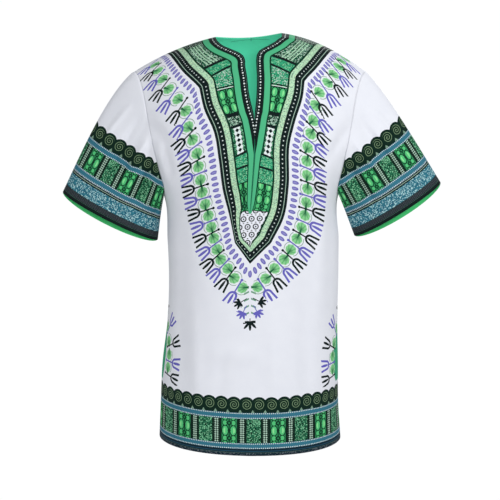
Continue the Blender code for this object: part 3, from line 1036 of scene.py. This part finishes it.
def sleeve_cloth(name):
    """A sleeve's bands, placed by w, the distance up from its hem."""
    cloth = Print(name, GROUND)
    along, w, around = cloth.field("band")
    cloth.spirals(along - 8.0, w - 135.8, 15.8)
    cloth.blue_band(along, w - 107.8, 12.4, 0.1)
    cloth.blocks(along, w - 85.0, 23.0, 79.0)
    cloth.blue_band(along, w - 49.8, 12.4, 0.1)
    cloth.paint(w < 49.5, INK)
    cloth.paint(w.near(46.6, 0.4), PALE_MOSS)
    cloth.speckled(w.near(30.8, 12.6), along, w, 2.0, TEAL_BLUE, BLUE_DARK, PALE_BLUE, 0.24)
    for line in (9.4, 11.7, 14.0, 16.3):
        cloth.paint(w.near(line, 0.35), DULL)
    cloth.stitches(around, w, 7.0)
    return cloth.finish(around, w, w < 60.0, lined=LINING_GREEN)


def paint_dashes(cloth):
    """Small ovals round the frame and, where the side seam is near, the green dome inside its half ring."""
    q, w, on_seam = cloth.field("dash")
    off_seam = on_seam.near(0.0, 0.5)
    cloth.paint((cloth.length(q / 3.5, w / 6.8) < 1) & off_seam, LAVENDER)
    cloth.paint((cloth.length(q / 1.5, w / 4.0) < 1) & off_seam, LAVENDER_LIGHT)
    dome = cloth.length(q / (on_seam * DOME_LEAN + DOME_HALF), w / DOME_HEIGHT) < 1
    cloth.paint(dome & (abs(on_seam) > 0.5), TEAL)


def paint_chevrons(cloth, middle, down):
    """Short chevrons under the frame's point."""
    level = down - middle * 0.45 - 568.5
    lines = (level.mirrored(13.2) < 1.7) & middle.near(6.5, 4.6) & level.near(20.0, 26.0)
    cloth.paint(lines, CHEVRON)


def paint_blooms(cloth):
    """Round blooms with a rayed edge, a dark heart and a thin arc beyond them."""
    q, w, _ = cloth.field("bloom")
    radius = cloth.length(q, w)
    ray = cloth.math("SINE", cloth.math("ARCTAN2", q, w + 8.0) * 14.0)
    fan = radius - ray * 0.5
    arc = abs(cloth.length(q, w - 1.0) - 13.2) < 0.6
    cloth.paint(arc & (abs(q) > 6.0) & (w > -7.0), MOSS_LIGHT)
    cloth.paint(fan < 10.6, BLOOM_LIGHT)
    cloth.paint(fan < 9.6, BLOOM)
    cloth.paint((fan < 8.2) & (ray > 0.5), LEAF_BRIGHT)
    core = 1 - cloth.length(q, w + 2.5) / 6.5
    cloth.paint(cloth.math("MAXIMUM", core, 0.0) * 0.9, BLOOM_DARK)
    cloth.paint((abs(q) < 2.4 - (w + 12.0) * 0.16) & w.near(-7.0, 5.0), BLOOM_DARK)


def paint_stems(cloth):
    """Tridents, kinds 0 and 1, and leafy tip sprigs, kinds 2 to 4: dark ones even, purple ones odd."""
    q, w, kind = cloth.field("stem")
    inked = cloth.trident(q, w) & (kind < 1.5)
    small = cloth.leafy(q, w, (0, 38, 80), 13.5, 2.2, 14.0)
    wide = cloth.leafy(q, w, (0, 42, 86), 17.0, 2.5, 6.5)
    inked = inked | (small & kind.near(2.5, 0.6)) | (wide & (kind > 3.5))
    for odd, colour in enumerate((INK, PURPLE)):
        cloth.paint(inked & kind.mirrored(2.0).near(odd, 0.2), colour)


def sprig_cloth(name):
    """Sprigs round the frame, under its point and on the side seams."""
    cloth = Print(name, GROUND)
    u, _, down = cloth.field("cloth")
    paint_dashes(cloth)
    paint_chevrons(cloth, abs(u), down)
    paint_blooms(cloth)
    paint_stems(cloth)
    return cloth.finish(u, down)


def paint_blocks(cloth, u, down, inward, block, inner):
    """The frame's blocks, with dark bars between them."""
    across = (inner - (inward - EDGE_BAND)) * 0.5

    def span(number):
        return block.near(number + 0.5, 0.5)

    cloth.speckled(block < 1, across, down, 2.0, INK, INK, PALE_MOSS, 0.2)
    for number, cell, ground, dark, light, share in BLOCK_SPECKLES:
        cloth.speckled(span(number), across, down, cell, ground, dark, light, share)
    for line in (2.4, 8.2):
        cloth.paint(span(1) & (abs(across) - line).near(0.0, 0.8), PALE_GREEN)
    cloth.ovals(span(4) | span(9), across, (block - 4) * BLOCK_LENGTH - 15.0, 12.5, 27.0)
    chain = ((block - 6) * BLOCK_LENGTH).mirrored(9.3)
    cloth.paint(span(6) & (abs(across) < chain * 0.5 + 4.4), PALE)
    cloth.paint(span(6) & (abs(across) + chain < 3.8), INK)
    for number, length, width in BLOCK_BARS:
        cloth.paint(((block - number) * length).near(0.0, width), INK)
    cloth.paint(((block - 4) * BLOCK_LENGTH).near(3.2, 0.7), PALE)
    paint_foot(cloth, block > 10, u, down - 424.5)


def paint_foot(cloth, foot, u, level):
    """White cloth at the frame's foot, with rows of rosettes, each row moved half a step, and dots."""
    half = LATTICE_STEP / 2
    shift = cloth.math("FLOOR", level / LATTICE_STEP) * half
    rosette = cloth.length((u - 3.0 + shift).wrapped(LATTICE_STEP), (level - half).wrapped(LATTICE_STEP))
    dot = cloth.length((u + 4.5 + shift).mirrored(LATTICE_STEP), level.mirrored(LATTICE_STEP))
    cloth.paint(foot, GROUND)
    cloth.paint(foot & (rosette.near(4.6, 1.0) | (rosette < 1.5)), INK)
    cloth.paint(foot & (dot < 1.6), INK)


def paint_neck_bands(cloth, neck, along):
    """Bands along the neck edge: a dark one with large and small beads, then a green one."""
    cloth.paint(neck < NECK_BAND, FOREST)
    cloth.paint(neck.near(19.2, 5.2), BAND_GREEN)
    cloth.paint(neck < 13.2, INK)
    for place, radius in ((0.0, 1.6), (BEAD_STEP / 2, 1.0)):
        bead = cloth.length(along.mirrored(BEAD_STEP) - place, neck - BEAD_LINE)
        cloth.paint(bead < radius, PALE)


def frame_cloth(name, solid):
    """The neck frame. A solid one, at the back, is plain green inside the bands of its outer edge."""
    cloth = Print(name, LINING if solid else GROUND)
    u, _, down = cloth.field("cloth")
    neck, inward, block = cloth.field("frame")
    along_neck, along_edge, inner = cloth.field("rows")
    if not solid:
        paint_blocks(cloth, u, down, inward, block, inner)
        paint_neck_bands(cloth, neck, along_neck)
        cloth.paint(inward < EDGE_BAND, FOREST)
    cloth.speckled(inward < 26.9, along_edge, inward, 1.9, PALE_GREEN, MOSS_LIGHT, MIST, 0.25)
    cloth.paint(inward < 17.3, INK)
    cloth.paint(cloth.length(along_edge.mirrored(8.0), inward - 11.8) < 1.15, PALE)
    cloth.paint(inward.near(5.4, 0.5), PALE_MOSS)
    cloth.paint(inward < 0.0, GROUND)
    cloth.stitches(along_neck, neck, 2.4)
    thread = (down - TACK_DOWN).near(0.0, 0.6) & (abs(u) < 38.0)
    cross = (u - 2.0).near(0.0, 0.6) & down.near(TACK_DOWN, 6.0)
    return cloth.finish(u, down, inward > 0.0, thread | cross if solid else None)


# Light: white behind the shirt, and how much of it falls on the cloth from all round
WHITE = (0.98, 0.99, 1.0, 1)
BACKGROUND = 1.03
TENT = 0.47
FLOOR_HEIGHT = -4.2
FLOOR_SIZE = 400

# The photo's view, its width in pixels, and the width of a pixel at the aim
ELEVATION = math.radians(10.5)
DISTANCE = 3.2
AIM = Vector((0, 0, -0.409))
AWAY = Vector((0, -math.cos(ELEVATION), math.sin(ELEVATION)))
SENSOR = 36
PHOTO_WIDTH = 500
PIXEL = 0.001922

# Lamps: name, place, aim, size, power
LAMPS = (
    ("neck_fill", (-0.075, -0.03, -0.14), (0, 0.09, -0.07), 0.04, 0.047),
    ("neck_fill", (0.080, -0.03, -0.14), (0, 0.09, -0.07), 0.04, 0.047),
    ("front", AIM + AWAY * 3.7 + Vector((0.2, 0, 0.1)), AIM, 0.5, 37),
    ("key", (1.9, -1.7, 1.3), (0, 0, -0.35), 0.3, 31),
    ("back", (1.0, 2.6, 0.8), (0, 0, -0.4), 0.4, 34),
    ("left", (-2.3, -1.9, -1.3), (0, 0, -0.5), 0.5, 10),
)


def area_light(name, place, aim, size, power):
    """A round lamp that the camera doesn't see."""
    light = bpy.data.lights.new(name, "AREA")
    light.shape = "DISK"
    light.size = size
    light.energy = power
    lamp = bpy.data.objects.new(name, light)
    lamp.location = place
    lamp.visible_camera = False
    lamp.rotation_euler = (Vector(aim) - Vector(place)).to_track_quat("-Z", "Y").to_euler()
    bpy.context.scene.collection.objects.link(lamp)


def tent():
    """A bright tent: white behind the shirt, soft light all round it."""
    world = bpy.data.worlds.new("studio")
    bpy.context.scene.world = world
    world.use_nodes = True
    nodes, links = world.node_tree.nodes, world.node_tree.links
    nodes["Background"].inputs["Color"].default_value = WHITE
    seen = nodes.new("ShaderNodeLightPath").outputs["Is Camera Ray"]
    level = nodes.new("ShaderNodeMath")
    level.operation = "MULTIPLY_ADD"
    level.inputs[1].default_value = BACKGROUND - TENT
    level.inputs[2].default_value = TENT
    links.new(seen, level.inputs[0])
    links.new(level.outputs[0], nodes["Background"].inputs["Strength"])


def pale_floor():
    """A floor so far below that views from below stay clear of it. It neither lights nor shades the cloth."""
    bpy.ops.mesh.primitive_plane_add(size=FLOOR_SIZE, location=(0, 0, FLOOR_HEIGHT))
    floor = bpy.context.object
    floor.name = "floor"
    pale = bpy.data.materials.new("floor")
    pale.use_nodes = True
    nodes, links = pale.node_tree.nodes, pale.node_tree.links
    glow = nodes.new("ShaderNodeEmission")
    glow.inputs["Color"].default_value = WHITE
    glow.inputs["Strength"].default_value = BACKGROUND
    links.new(glow.outputs[0], nodes["Material Output"].inputs["Surface"])
    floor.data.materials.append(pale)
    floor.visible_diffuse = False
    floor.visible_glossy = False
    floor.visible_shadow = False
    return floor


def photo_camera():
    """The camera at the photo's height angle, with its frame's width at the shirt."""
    data = bpy.data.cameras.new("camera")
    data.sensor_width = SENSOR
    data.lens = SENSOR * DISTANCE / (PHOTO_WIDTH * PIXEL)
    camera = bpy.data.objects.new("camera", data)
    camera.location = AIM + AWAY * DISTANCE
    camera.rotation_euler = (-AWAY).to_track_quat("-Z", "Y").to_euler()
    bpy.context.scene.collection.objects.link(camera)
    bpy.context.scene.camera = camera


def main():
    """The four shells in place of the CAD panels, and the studio round them."""
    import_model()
    plain, sprig, hem = plain_cloth("plain_cotton"), sprig_cloth("sprig_print"), hem_cloth("hem_print")
    front = [plain, sprig, frame_cloth("neck_print", False), hem]
    back = [plain, sprig, frame_cloth("back_neck_print", True), hem]
    cuff = [sleeve_cloth("sleeve_print")]
    # CAD node, its shell, and the flat cloth's width, length and area
    pieces = (
        ("front_panel", panel("front", front), 0.50, 0.84, 0.351),
        ("back_panel", panel("back", back), 0.50, 0.84, 0.347),
        ("sleeve_left", sleeve(-1, cuff), 0.42, 0.27, 0.0905),
        ("sleeve_right", sleeve(1, cuff), 0.40, 0.27, 0.0876),
    )
    for node, piece, width, length, area in pieces:
        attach(piece, "root")
        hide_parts(node)

    tent()
    pale_floor()
    photo_camera()
    for lamp in LAMPS:
        area_light(*lamp)
    bpy.context.scene.view_settings.view_transform = "Standard"


main()
